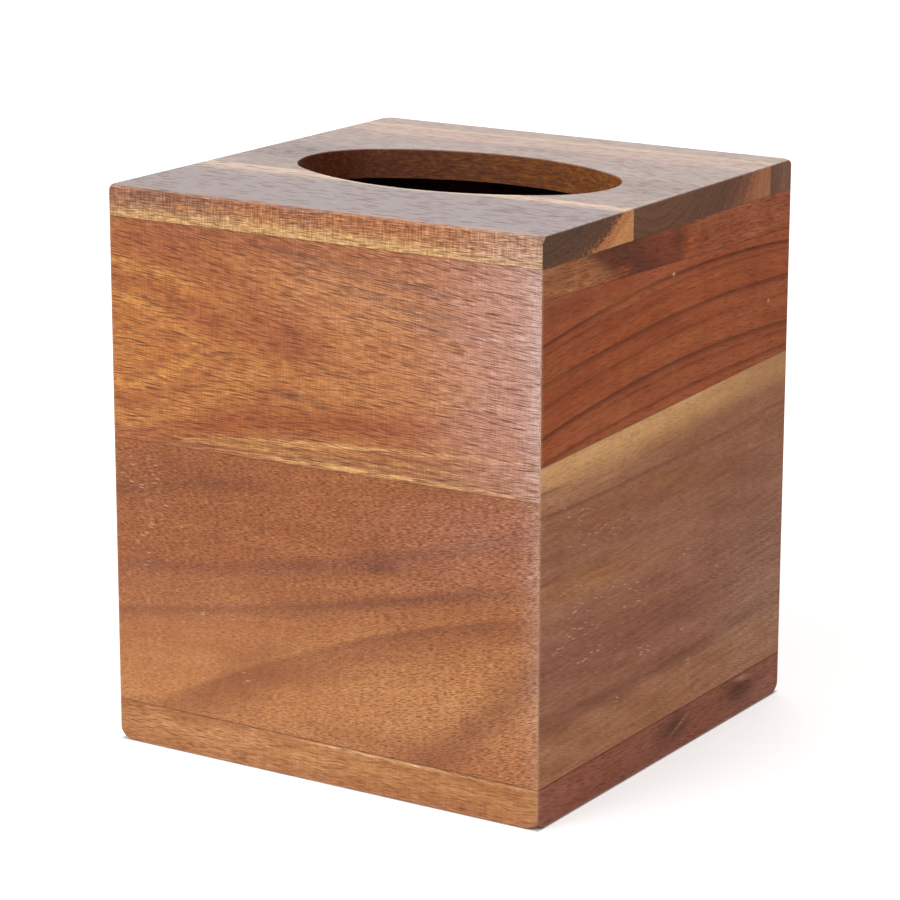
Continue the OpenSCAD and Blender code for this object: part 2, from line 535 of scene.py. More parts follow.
    def _patch(self) -> bpy.types.NodeTree:
        """Builds the group for one cloudy spot."""
        values = "Wander Along Down Length Height Slant Deep Reach"
        graph, wire = self._open("wood_patch", "Place", values)
        along, deep, down = graph.split(wire["Place"])
        right = along - wire["Along"]
        under = down - wire["Down"] - right * wire["Slant"] + wire["Wander"]
        inwards = deep - wire["Deep"]
        ways = right / wire["Length"], under / wire["Height"], inwards / wire["Reach"]
        long_way, short_way, thick_way = (way * way for way in ways)
        return self._close(graph, Mark=graph.bell(long_way + short_way + thick_way))

    def _arris(self) -> bpy.types.NodeTree:
        """Builds the group for the arrises: 1 on an arris, which is rubbed pale and painted as a
        highlight.
        """
        graph, wire = self._open("worn_arris", "Object", "Half Height Reach")
        x, y, z = (part / MM for part in graph.split(wire["Object"]))
        to_x, to_y = wire["Half"] - graph.size(x), wire["Half"] - graph.size(y)
        to_level = graph.calc("MINIMUM", wire["Height"] - z, z)
        low, high = graph.calc("MINIMUM", to_x, to_y), graph.calc("MAXIMUM", to_x, to_y)
        second = graph.calc("MINIMUM", high, graph.calc("MAXIMUM", low, to_level))
        return self._close(graph, Wear=1.0 - graph.step(second, 0.0, wire["Reach"]))

    def _cuts(self) -> bpy.types.NodeTree:
        """Builds the group for the top board's cut faces: the opening's wall and the ends."""
        graph, wire = self._open("cut_faces", "Object Facing", "Length Width")
        x, y, _ = (part / MM for part in graph.split(wire["Object"]))
        face_x, _, face_z = graph.split(wire["Facing"])
        reach = graph.calc("MAXIMUM", graph.size(x) / wire["Length"], graph.size(y) / wire["Width"])
        upright = 1.0 - graph.step(graph.size(face_z), *self.WALL_FACES)
        return self._close(
            graph,
            Opening=upright * (1.0 - graph.step(reach, *self.OPENING_EDGE)),
            End=graph.step(graph.size(face_x), *self.END_FACES),
            Lid=graph.step(face_z, *self.FLAT_FACES),
            Underside=graph.step(face_z * -1.0, *self.FLAT_FACES),
            Rightwards=x / wire["Length"] * 0.5 + 0.5,
        )


@dataclass(frozen=True)
class AcaciaFinish:
    """The clear-lacquered wood of one stave.

    Attributes:
        bands: Colours of the growth zones, each with its distance down the board, in order.
        pore: Colour of the open pores.
        grain: How the grain runs.
        streaks: The bands and lines that stand out.
        patches: The cloudy spots.
        flecks: The clusters of pores filled with pale dust. Their tones are not used.
        smooth: The zones where fibres and pores show less. Their tones are not used.
        seams: The glue lines that bound the stave.
        end_bands: Colours of the growth zones on the sawn ends, as for the bands.
        roughness: How matt the lacquer is.
        gloss: How much the wood reflects, as the shader's specular level.
        coat: Weight of the lacquer film.
        seed: Tells this stave's wood from the others'.
    """

    bands: tuple[tuple[float, Tone], ...]
    pore: Tone
    grain: Grain = Grain()
    streaks: tuple[Streak, ...] = ()
    patches: tuple[Patch, ...] = ()
    flecks: tuple[Patch, ...] = ()
    smooth: tuple[Patch, ...] = ()
    seams: tuple[Arc, ...] = ()
    end_bands: tuple[tuple[float, Tone], ...] = ()
    roughness: float = 0.46
    gloss: float = 0.35
    coat: float = 0.05
    seed: float = 0.0


class WoodShader:
    """Turns one stave's finish into a material."""

    BUMP_DEPTH, FIBRE_RELIEF = 0.05, 0.4
    COAT_ROUGHNESS = 0.3
    FIBRE_MATT, PORE_MATT, WEAR_MATT, RAW_MATT = 0.06, 0.25, -0.06, 0.3
    SHADE_DEPTH, SHADE_GAIN, SHADE_LOWEST = 0.3, 0.4, 0.15
    CLOUD_DRIFT = 1.2
    CROWDING = 0.2
    LID_CALM = 0.45
    UNEVEN_FIBRE, UNEVEN_STRAND = 0.9, 0.5
    # Pale rubbed edges, which also stand in for a painted highlight on every arris.
    WEAR_TONE, WEAR_STRENGTH, WEAR_REACH, WEAR_GRAIN = (222, 182, 152), 0.2, 1.2, 0.8
    # Painted shade on the inner faces and the top board's underside, inside the cover.
    INNER_TONE, INNER_STRENGTH, INNER_FACE = (66, 40, 26), 0.8, (7.1, 7.5)
    DUST_TONE, DUST_STRENGTH = (226, 192, 164), 0.8
    GLUE_TONE, GLUE_STRENGTH, GLUE_WIDTH = (74, 42, 32), 0.4, 0.22
    END_MOTTLE, END_SCALE, END_RINGS, END_RAW = 3.0, (0.3, 0.8, 0.8), 1.5, 0.6
    # The opening's wall: dark red end grain, with painted shade that is deepest on the left and
    # lifts to the right.
    WALL_LEFT, WALL_RIGHT, WALL_STRENGTH = (86, 32, 2), (140, 76, 10), 0.92
    WALL_CONTRAST, WALL_SCALE, WALL_RINGS = 1.5, (0.3, 1.2, 0.8), 0.4

    def __init__(self, finish: AcaciaFinish, board: Board, kit: GrainKit, name: str) -> None:
        """Starts the material, straightens the grain and makes the wood's figure in it.

        Args:
            finish: The stave's finish.
            board: The board that the stave is part of, which sets how its grain lies.
            kit: The shared shader groups.
            name: The material's name.
        """
        self.finish, self.grain, self.board, self.kit = finish, finish.grain, board, kit
        self.material = bpy.data.materials.new(name)
        self.graph = graph = Graph.start(self.material)
        origin = graph.add("TexCoord")
        self.source, self.facing = graph.out(origin, "Object"), graph.out(origin, "Normal")
        self.place = self._place()
        flow = graph.use(
            kit.flow,
            Place=self.place,
            Line=self.grain.flow.terms(),
            Pith=(0.0, *reversed(self.grain.pith or (0.0, 0.0))),
            Seed=finish.seed,
            Centre=self.grain.centre,
            Fan=self.grain.fan,
            Tilt=self.grain.tilt,
            Wave=self.grain.wave,
            Ringed=float(self.grain.pith is not None),
        )
        self.flow, self.wander, self.level = flow.values()
        figure = graph.use(
            kit.figure,
            Flow=self.flow,
            Level=self.level,
            Seed=finish.seed,
            Length=self.grain.fibre_length,
            Flat=self.grain.flat,
        )
        self.fibre, self.strand, self.cloud, self.ripple = figure.values()
        self.uneven = self.fibre * self.UNEVEN_FIBRE + self.strand * self.UNEVEN_STRAND + 1.0

    def _place(self) -> Wire:
        """Turns the object's own place into millimetres along, deep and down the board."""
        half, height = Cover.HALF, Cover.HEIGHT
        if self.board is Board.TOP:
            turn, signs, shift = (math.pi / 2, 0, 0), (1, -1, 1), (half, height, half)
        else:
            turn = (0, 0, -math.radians(self.board.value))
            signs, shift = (1, 1, -1), (half, half, height)
        feeds = {
            "Vector": self.source,
            "Location": shift,
            "Rotation": turn,
            "Scale": tuple(sign / MM for sign in signs),
        }
        return self.graph.out(self.graph.add("Mapping", feeds, vector_type="POINT"))

    def _mask(self, mark: Streak | Patch) -> Wire:
        """Makes the mask of one streak or spot."""
        group = self.kit.streak if isinstance(mark, Streak) else self.kit.patch
        wander = self.wander * mark.ragged
        return self.graph.use(group, Place=self.place, Wander=wander, **mark.feeds())["Mark"]

    def _glue(self, seam: Arc) -> Streak:
        """Describes the thin dark line of glue along a seam."""
        width = self.GLUE_WIDTH
        return Streak(seam, self.GLUE_TONE, self.GLUE_STRENGTH, width, width, ragged=0.0)

    def _marked(self, color: Wire, marks: Iterable[Streak | Patch]) -> Wire:
        """Lays streaks and spots over the wood, as uneven as its grain.

        Args:
            color: The colour so far.
            marks: The streaks and spots, in order.

        Returns:
            The colour with them.
        """
        for mark in marks:
            share = self._mask(mark) * self.uneven * mark.strength
            color = self.graph.mix(share, color, linear(mark.tone))
        return color

    def _ground(self, level: Wire, bands: tuple[tuple[float, Tone], ...]) -> Wire:
        """Makes the ground colour from the growth zones.

        Args:
            level: The growth level.
            bands: The zones.

        Returns:
            The colour.
        """
        low, high = bands[0][0], bands[-1][0]
        stops = [((place - low) / (high - low), tone) for place, tone in bands]
        return self.graph.ramp((level - low) / (high - low), stops)

    def _shade(self, color: Wire, shade: Wire) -> Wire:
        """Shades the wood within its own hue.

        Args:
            color: The colour so far.
            shade: How much brighter than that it gets, or darker where it is below 0.

        Returns:
            The shaded colour.
        """
        gamma = {"Color": color, "Gamma": 1.0 - shade * self.SHADE_DEPTH}
        deeper = self.graph.out(self.graph.add("Gamma", gamma))
        gain = self.graph.calc("MAXIMUM", shade * self.SHADE_GAIN + 1.0, self.SHADE_LOWEST)
        lit = self.graph.add("VectorMath", {0: deeper, "Scale": gain}, operation="SCALE")
        return self.graph.out(lit)

    def _wood(self, coarse: Feed, sides: Feed, calm: Feed) -> Wire:
        """Colours the bare wood: its growth zones and marks, and the light and shade in them.

        Args:
            coarse: How much the fibres show.
            sides: How much the lines across the grain show.
            calm: How much all the light and shade shows.

        Returns:
            The colour.
        """
        finish, grain = self.finish, self.grain
        color = self._ground(self.level + self.cloud * self.CLOUD_DRIFT, finish.bands)
        color = self._marked(color, finish.streaks + finish.patches)
        shade = (
            self.fibre * coarse * grain.fibre
            + self.strand * grain.strand
            + self.cloud * grain.cloud
            + self.ripple * grain.ripple
        )
        if grain.hatch:
            hatch = self.graph.use(self.kit.hatch, Flow=self.flow, Seed=finish.seed)["Hatch"]
            shade = shade + hatch * grain.hatch * sides
        return self._shade(color, shade * calm)

    def _pores(self) -> Wire:
        """Makes the mask of the open pores."""
        pores = self.graph.use(
            self.kit.pores,
            Flow=self.flow,
            Seed=self.finish.seed,
            Crowd=(self.strand + self.cloud) * self.CROWDING,
            Amount=self.grain.pores,
            Length=self.grain.pore_length,
            Width=self.grain.pore_width,
            Flat=self.grain.flat,
        )
        return pores["Pores"]

    def _dust(self) -> Wire:
        """Makes the mask of all the dusty pores."""
        area: Feed = 0.0
        for cluster in self.finish.flecks:
            area = self.graph.calc("MAXIMUM", area, self._mask(cluster))
        dust = self.graph.use(self.kit.dust, Flow=self.flow, Seed=self.finish.seed)["Dust"]
        return dust * area * self.DUST_STRENGTH

    def _cut_color(self, color: Wire, cuts: dict[str, Wire]) -> tuple[Wire, Wire]:
        """Colours the top board's ends, opening and underside, with painted shade on the opening's
        wall and on the underside.

        Args:
            color: The colour so far.
            cuts: The masks of the cut faces by name.

        Returns:
            The colour, and where the wood is left raw.
        """
        graph, rings, place = self.graph, self.uneven - 1.0, self.graph.split(self.place)
        spots = graph.scaled(*place, self.END_SCALE, self.finish.seed)
        mottle = graph.noise(spots, 2.0, 0.7) * self.END_MOTTLE
        end = self._ground(self.level + rings * self.END_RINGS + mottle, self.finish.end_bands)
        color = graph.mix(cuts["End"], color, self._shade(end, rings))
        # Painted shade across the opening's wall, deepest on the left and lighter to the right.
        wall = graph.mix(cuts["Rightwards"], linear(self.WALL_LEFT), linear(self.WALL_RIGHT))
        fleck = graph.noise(graph.scaled(*place, self.WALL_SCALE), 2.0, 0.8)
        wall = self._shade(wall, rings * self.WALL_RINGS + fleck * self.WALL_CONTRAST)
        color = graph.mix(cuts["Opening"] * self.WALL_STRENGTH, color, wall)
        # Painted shade on the underside, inside the cover.
        underside = cuts["Underside"]
        color = graph.mix(underside * self.INNER_STRENGTH, color, linear(self.INNER_TONE))
        return color, cuts["Opening"] + underside + cuts["End"] * self.END_RAW

    def _shader(self, color: Wire, relief: Wire, roughness: Wire, coat: Feed) -> None:
        """Adds the shader itself.

        Args:
            color: The wood's colour.
            relief: How high its surface stands, as a share of the bumps' depth.
            roughness: How matt it is.
            coat: Weight of the lacquer film.
        """
        bump = {"Strength": 1.0, "Distance": self.BUMP_DEPTH * MM, "Height": relief}
        feeds = {
            "Base Color": color,
            "Roughness": roughness,
            "Specular IOR Level": self.finish.gloss,
            "Coat Weight": coat,
            "Coat Roughness": self.COAT_ROUGHNESS,
            "Normal": self.graph.out(self.graph.add("Bump", bump)),
        }
        shader = self.graph.add("BsdfPrincipled", feeds)
        self.graph.add("OutputMaterial", {"Surface": self.graph.out(shader)})

    def build(self) -> bpy.types.Material:
        """Makes the colour, the relief and the shader.

        Returns:
            The material.
        """
        graph, finish, kit = self.graph, self.finish, self.kit
        coarse: Feed = 1.0
        for zone in finish.smooth:
            coarse = coarse - self._mask(zone) * zone.strength
        calm: Feed = 1.0
        sides: Feed = 1.0
        coat: Feed = finish.coat
        if self.board is Board.TOP:
            length, width = Cover.OPENING
            cuts = graph.use(
                kit.cuts, Object=self.source, Facing=self.facing, Length=length, Width=width
            )
            sides = 1.0 - cuts["Lid"]
            calm = 1.0 - cuts["Lid"] * self.LID_CALM
            coat = cuts["Lid"] * finish.coat
        color = self._wood(coarse, sides, calm)
        pores = self._pores() * coarse
        color = graph.mix(pores * self.grain.pore_depth, color, linear(finish.pore))
        if finish.flecks:
            color = graph.mix(self._dust(), color, linear(self.DUST_TONE))
        color = self._marked(color, map(self._glue, finish.seams))
        # Pale rubbed edges, also a painted highlight along every arris, where the lacquer is
        # glossier.
        half, height, reach = Cover.HALF, Cover.HEIGHT, self.WEAR_REACH
        worn = graph.use(kit.arris, Object=self.source, Half=half, Height=height, Reach=reach)
        wear = worn["Wear"] * (self.fibre * self.WEAR_GRAIN + 1.0)
        color = graph.mix(wear * self.WEAR_STRENGTH, color, linear(self.WEAR_TONE))
        if self.board is Board.TOP:
            color, raw = self._cut_color(color, cuts)
        else:
            # Painted shade on the inner faces, inside the cover; the same mask makes them matt.
            _, deep, _ = graph.split(self.place)
            raw = graph.step(deep, *self.INNER_FACE)
            share = raw * self.uneven * self.INNER_STRENGTH
            color = graph.mix(share, color, linear(self.INNER_TONE))
        matt = self.fibre * self.FIBRE_MATT + pores * self.PORE_MATT + wear * self.WEAR_MATT
        roughness = matt + raw * self.RAW_MATT + finish.roughness
        self._shader(color, self.fibre * self.FIBRE_RELIEF - pores, roughness, coat)
        return self.material


@dataclass(frozen=True)
class Stave:
    """One stave: its node in the frame, the board that it is glued into, and its wood."""

    node: str
    board: Board
    finish: AcaciaFinish


@dataclass
class Cover:
    """The whole cover.

    Attributes:
        staves: All the staves, in the order in which they are dressed.
    """

    staves: list[Stave]

    HALF = 65.0
    HEIGHT = 150.0
    MIDDLE = Vector((0.0, 0.0, HEIGHT / 2))
    OPENING = (47.5, 29.5)

    def dress(self, nodes: dict[str, bpy.types.Object], kit: GrainKit) -> None:
        """Gives each stave its wood.

        Args:
            nodes: The frame's nodes by name.
            kit: The shared shader groups.
        """
        for stave in self.staves:
            wood = WoodShader(stave.finish, stave.board, kit, f"{stave.node}_wood").build()
            nodes[stave.node].material_slots[0].material = wood
            low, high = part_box(stave.node)
            LOG.info("%s: %.1f x %.1f x %.1f mm", stave.node, *((high - low) / MM))


FRONT_SEAM = Arc(66.8, 66.2, 65.6)
FRONT_BASE = Arc(138.7, 138.95, 139.2)
RIGHT_UPPER_SEAM = Arc(15.6, 17.15, 18.7)
RIGHT_LOWER_SEAM = Arc(56.9, 54.6, 52.3)
RIGHT_BASE = Arc(139.2, 138.8, 138.4)
TOP_SEAM = Arc(8, 8, 8)
LID_FRONT_SEAM = Arc(86.2, 86.2, 86.2)
LID_REAR_SEAM = Arc(12.5, 12.5, 12.5)

dull_wood = partial(AcaciaFinish, roughness=0.6, gloss=0.1, coat=0.0)
lid_wood = partial(AcaciaFinish, roughness=0.43, coat=0.14)


ARCH_END, ARCH_FADE = 0.9, 0.15


def arch(
    top: float, bottom: float, tip: float, down: float, tone: Tone, strength: float, reach: float
) -> tuple[Streak, ...]:
    """Describes a pointed arch of grain that opens to the left.

    Args:
        top: Distance down of its upper limb at the board's left end.
        bottom: Distance down of its lower limb there.
        tip: Where its point is along the board.
        down: Where its point is down the board.
        tone: Its colour.
        strength: How much of its colour shows, from 0 to 1.
        reach: How far it fades to both sides.

    Returns:
        The two limbs.
    """
    half = (GrainKit.BOARD_LENGTH / 2 / tip) ** 2
    limb = partial(Streak, end=tip * ARCH_END, fade=tip * ARCH_FADE)
    drops = [(start, (down - start) * half) for start in (top, bottom)]
    lines = [Arc(start, start + drop, start + drop * 4) for start, drop in drops]
    return tuple(limb(line, tone, strength, reach, reach) for line in lines)


def front_staves() -> list[Stave]:
    """Describes the three staves of the front wall."""
    upper = AcaciaFinish(
        bands=(
            (8, (170, 102, 56)), (18, (176, 104, 50)), (30, (182, 110, 52)), (44, (186, 116, 58)),
            (54, (176, 106, 52)), (62, (180, 112, 62)), (68, (178, 110, 64)),
        ),
        pore=(98, 44, 26),
        grain=Grain(
            tilt=0.11, centre=22, fan=0.38, wave=0.25, fibre=1.4, fibre_length=3.6, strand=0.15,
            cloud=0.22, ripple=0.16, hatch=0.3, pores=0.44, pore_depth=0.9, pore_length=8,
            pore_width=0.26,
        ),
        streaks=(
            *arch(14, 66, 68, 36, (150, 68, 38), 0.34, 3),
            *arch(20, 61, 52, 38, (210, 140, 70), 0.5, 1.8),
            *arch(24, 56, 40, 39, (148, 72, 36), 0.5, 1.4),
            *arch(29, 52, 30, 40, (218, 150, 76), 0.6, 1.4),
            *arch(34, 48, 20, 41, (158, 84, 40), 0.5, 1.2),
            Streak(Arc(8, 10.5, 12), (150, 78, 50), 0.5, 2, 3, 12, 92, 14),
            Streak(Arc(6, 13, 22.5), (112, 54, 42), 0.35, 1, 1.8, 50, 106, 8),
            Streak(Arc(5, 12.2, 22), (84, 40, 40), 0.6, 0.3, 0.5, 52, 108, 8),
            Streak(Arc(9, 17.3, 26.5), (84, 40, 40), 0.65, 0.3, 0.6, 58, 112, 8),
            Streak(Arc(11, 18.8, 28), (90, 44, 40), 0.5, 0.4, 0.7, 70, 120, 8),
            Streak(Arc(14, 23, 28), (90, 44, 40), 0.55, 0.4, 0.8, 84, 126, 8),
            Streak(Arc(65, 54.5, 49), (158, 76, 32), 0.75, 3, 3.2, 18, 104, 18),
            Streak(Arc(68, 64, 61), (200, 142, 86), 0.4, 1.6, 3.4, 60, 150, 20, ragged=0.4),
            Streak(Arc(65.5, 60, 55.8), (230, 174, 108), 0.6, 0.5, 0.7, 44, 160, 16, ragged=0.7),
            Streak(Arc(66.3, 65.2, 64.8), (230, 174, 108), 0.75, 0.8, 0.7, 46, 160, 18, ragged=0.4),
            Streak(Arc(64, 64, 63.5), (216, 156, 84), 0.5, 0.8, 0.8, 24, 66, 10, ragged=2),
            Streak(Arc(62.6, 61.8, 60), (212, 152, 84), 0.4, 0.5, 0.6, 30, 96, 14, ragged=1.6),
            Streak(Arc(65.6, 64.6, 63), (96, 50, 32), 0.5, 0.3, 0.4, 18, 66, 8, ragged=1.6),
            Streak(Arc(63.6, 62.6, 61), (110, 58, 34), 0.4, 0.3, 0.4, 26, 74, 8, ragged=1.8),
            Streak(Arc(63, 63.4, 64.6), (120, 66, 38), 0.55, 0.4, 0.5, 58, 145, 10, ragged=0.5),
            Streak(Arc(57, 61.4, 63), (120, 66, 38), 0.55, 0.4, 0.5, 72, 145, 10, ragged=0.5),
            Streak(Arc(52, 58.6, 61), (120, 66, 38), 0.5, 0.4, 0.5, 84, 145, 10, ragged=0.5),
        ),
        patches=(
            # The first three spots are painted sheen: pale and pinkish at the right end and along
            # its edge.
            Patch(130, 18, 28, 32, (212, 167, 156), 0.6),
            Patch(129, 48, 24, 24, (204, 155, 142), 0.52), Patch(131, 24, 5, 60, (222, 196, 188)),
            Patch(6, 42, 22, 17, (194, 118, 50), 0.45),
            Patch(36, 49, 22, 4, (198, 126, 60), 0.4, -0.25),
            Patch(46, 32, 15, 6, (158, 76, 40), 0.55, 0.1),
            Patch(57, 34.5, 9, 5.5, (148, 66, 36), 0.6), Patch(84, 40, 18, 9, (190, 122, 78), 0.4),
            Patch(57, 48.5, 7, 1.4, (92, 52, 42), 0.35),
            Patch(26, 30, 12, 6, (160, 84, 44), 0.25, -0.1),
            Patch(12, 14, 20, 4, (164, 88, 52), 0.35, 0.05),
            Patch(76, 21, 28, 11, (222, 164, 116), 0.3, 0.08),
        ),
        seams=(TOP_SEAM, FRONT_SEAM),
        seed=13,
    )
    lower = AcaciaFinish(
        bands=(
            (64, (163, 95, 50)), (78, (163, 95, 52)), (96, (169, 103, 59)), (106, (181, 115, 65)),
            (120, (197, 132, 78)), (132, (197, 134, 82)), (141, (185, 118, 71)),
        ),
        pore=(114, 58, 30),
        grain=Grain(
            flow=Arc(14, 6, -10), tilt=0.07, centre=110, fan=0.3, wave=0.7, fibre=1.5,
            fibre_length=1.6, strand=0.2, cloud=0.25, ripple=0.16, hatch=0.15, pore_depth=0.7,
            pore_length=1.9, pore_width=0.36,
        ),
        streaks=(
            Streak(Arc(80.5, 71, 66), (120, 64, 38), 0.5, 2, 2.2, -20, 48, 10, ragged=0.5),
            Streak(Arc(101, 91.3, 73), (120, 66, 48), 0.5, 1.8, 2.8, -10, 145, 10, ragged=0.4),
            Streak(Arc(113.5, 102.2, 86), (112, 60, 42), 0.55, 1.1, 2.2, -20, 128, 28, ragged=0.4),
            Streak(Arc(144.3, 114.5, 95), (112, 58, 36), 0.52, 1, 2.4, 20, 126, 20, ragged=0.5),
            Streak(Arc(146.5, 117.5, 97), (140, 76, 44), 0.62, 2.4, 6.5, 14, 84, 20, ragged=0.5),
            Streak(Arc(148, 118, 97), (150, 86, 52), 0.4, 2.4, 5, 70, 150, 20, ragged=0.5),
            Streak(Arc(122, 149, 108), (126, 66, 44), 0.55, 6.5, 8, 90, 150, 10, ragged=0.4),
        ),
        patches=(
            Patch(84, 89.3, 6, 1.6, (92, 50, 42), 0.6, -0.1),
            Patch(18, 73, 24, 5, (130, 70, 40), 0.45, -0.1),
            # The next two spots are painted sheen towards the right end, strongest along the edge.
            Patch(116, 76, 26, 13, (172, 116, 98), 0.38, -0.2),
            Patch(131, 84, 5, 60, (210, 172, 156), 0.32),
            Patch(78, 124, 24, 10, (198, 136, 84), 0.4),
            Patch(46, 119, 12, 3, (124, 66, 40), 0.35, -0.35),
            Patch(80, 135, 18, 2.4, (140, 72, 42), 0.35),
            Patch(24, 114, 34, 11, (196, 128, 82), 0.3, -0.2),
            Patch(46, 125, 14, 4.5, (144, 80, 46), 0.18, -0.35),
        ),
        flecks=(
            Patch(9, 76, 6, 5), Patch(15, 83, 4, 3), Patch(10, 95, 3, 6), Patch(29, 111, 3, 2),
            Patch(41, 126, 3, 2),
        ),
        smooth=(Patch(22, 122, 62, 20, strength=0.55, slant=-0.1),),
        seams=(FRONT_SEAM, FRONT_BASE),
        seed=29,
    )
    base = AcaciaFinish(
        bands=((138, (178, 114, 64)), (144, (190, 130, 78)), (150, (178, 116, 72))),
        pore=(124, 66, 30),
        grain=Grain(wave=0.6, fibre=1.1, hatch=0.2),
        streaks=(
            # A painted highlight along the seam's edge, where it catches the light.
            Streak(
                Arc(139.3, 139.5, 139.7), (236, 186, 136), 0.6, 0.3, 0.4, 60, 150, 16, ragged=0.1,
            ),
        ),
        patches=(Patch(34, 144, 18, 7, (206, 146, 96), 0.4),),
        seams=(FRONT_BASE,),
        seed=47,
    )
    return [
        Stave("front_upper_stave", Board.FRONT, upper),
        Stave("front_lower_stave", Board.FRONT, lower),
        Stave("front_base_strip", Board.FRONT, base),
    ]


